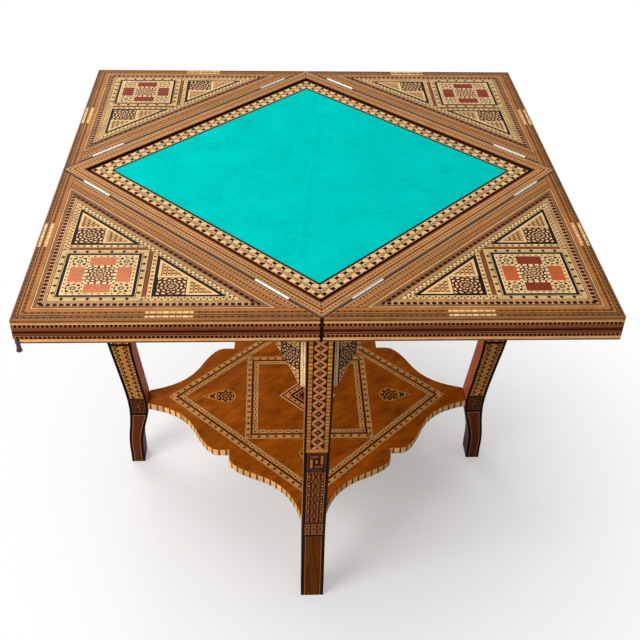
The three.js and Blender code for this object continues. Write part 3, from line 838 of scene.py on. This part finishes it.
block_middle, star_half, reds_start, reds_end = 348, 21, 26, 49
p, q = abs(reach - block_middle), abs(middle - block_middle)
frame_out, frame_in = p.most(q), p.least(q)
block = banding(f, frame_out, frame_in, [
    (star_half, "lemon"), (5, "maple", "walnut", 10, 3), (23, "padauk"), (1.8, "lemon"),
    (2.9, "lemon", "walnut", 10, 3), (1.8, "maple"), (5, "ebony"), (1, "maple"), (1, "walnut"),
    (7.3, "straw", "ebony", 20, 7, 0, 0.8), (1, "maple"), (1.2, "walnut"),
])
# Painted light and shade on the red rectangles: a lit red on the front left leaf, a shaded red on the back
# leaves and on two opposite rectangles of the front right leaf, padauk on the rest.
shaded_reds = (f.y > 0) | ((f.x > 0) & (abs(x - block_middle) < abs(y - block_middle)))
lit_and_shaded_reds = f.mixed(veneers["padauk"], colour(206, 122, 80), (f.x < 0) & (f.y < 0))
lit_and_shaded_reds = f.mixed(lit_and_shaded_reds, colour(136, 54, 32), shaded_reds)
streaks = f.noise(f.joined(reach / 26, middle / 2.6, 0), 1.0, 2.0)
block = f.mixed(block, f.scaled(lit_and_shaded_reds, 0.7 + streaks * 0.6), frame_out.between(reds_start, reds_end))
small_middle = 37.4
small = rosette(f, p - small_middle, q - small_middle, 7.4, 8, "maple", "walnut", 0.47)
between_reds = banding(f, frame_in - star_half, frame_out, [
    (1.2, "maple"), (2.6, "lemon", "walnut", 10, 3), (1.2, "lemon")])
corner = f.mixed(between_reds, small, frame_in > reds_start)
block = f.mixed(block, corner, (frame_in > star_half) & (frame_out < reds_end))
star = rosette(f, reach - block_middle, middle - block_middle, 5.4, 12, "rosewood", "maple", 0.41)
block = f.mixed(block, star, frame_out < star_half)
in_block = (middle > 276) & (reach < 420) & (away > 391.5)
marquetry = f.mixed(marquetry, block, in_block)
marquetry = f.mixed(hinge_bands, marquetry, away > ring_hinge)


def outer_bands(row):
    """The bands along a leaf's outer sides, with the blocks of their two rows."""
    return banding(leaf_wood, 466 - reach, middle, [
        (3, "mauve"), (0.9, "walnut"), (4.4, *row), (1.4, "olive"), (1.8, "walnut"), (3, "cherry"),
        (4.6, *row), (1, "olive"), (5.4, "cherry"), (1.5, "mahogany"),
    ])


small_dots, long_blocks = ("mahogany", "walnut", 10, 2.4), ("cherry", "lemon", 10, 8.2)
rim = f.mixed(outer_bands(small_dots), outer_bands(long_blocks), middle.between(194, 266))
marquetry = f.mixed(marquetry, rim, reach > ring_side)
shade = f.mixed(veneers["rosewood"], marquetry, f.z > table_top - 1.2)
shade = f.mixed(shade, edge_bands(f), on_edge(f))
f.set("Base Color", figured(f, shade, along, away, f.z, 0.3))
for quarter in quarters:
    dress(fitted(f"{quarter}_leaf_play_panel", 0.0008), leaf_wood)

# The leaves' outer panels, which are the top of the closed table: plain figured veneer with a narrow
# banded border, glued to the core's other face.

cover_wood = Finish("plain_leaf_cover")
f = cover_wood
away, along = turned(f)
inward = (leaf_reach - abs(f.x).most(abs(f.y))).least(away - leaf_start)
cover = banding(f, inward, along, [
    (7, "mahogany"), (1, "lemon"), (1, "walnut"), (4.6, "apricot", "ebony", 8, 4.2), (1, "walnut"),
    (1, "lemon"), (5, "rosewood"), (1.2, "lemon"), (4, "mahogany"),
])
shade = f.mixed(cover, edge_bands(f), on_edge(f))
f.set("Base Color", figured(f, shade, along, away, f.z, 0.45))
for quarter in quarters:
    dress(fitted(f"{quarter}_leaf_outer_panel", 0.0008), cover_wood)

# The eight narrow hinges, nickel-plated steel let in flush, two to each leaf. Each is a frame plate
# and a leaf plate with their screws, and the knuckles stand just above the top.

hinge_metal = Finish("worn_nickel", 0.32, 0.5)
f = hinge_metal
rubbed = f.noise(f.scaled(f.place, 0.25), 1.0, 4.0)
f.set("Base Color", f.mixed(colour(186, 182, 172), colour(232, 230, 224), rubbed))
f.set("Roughness", 0.22 + rubbed * 0.2)
f.shader.inputs["Metallic"].default_value = 0.9
for quarter in quarters:
    for number in (1, 2):
        for side in ("frame", "leaf"):
            dress(frame["nodes"][f"{quarter}_hinge_{number}_{side}_plate"], hinge_metal)

# The small turned pull, dark wood, set into the underside of the front left leaf at its corner. It
# gives the fingers a hold when the leaf is lifted.

pull_wood = Finish("dark_pull_wood", 0.3, 0.5)
f = pull_wood
f.set("Base Color", figured(f, colour(64, 34, 28), f.z, f.x, f.y, 0.3))
dress(fitted("corner_pull"), pull_wood)
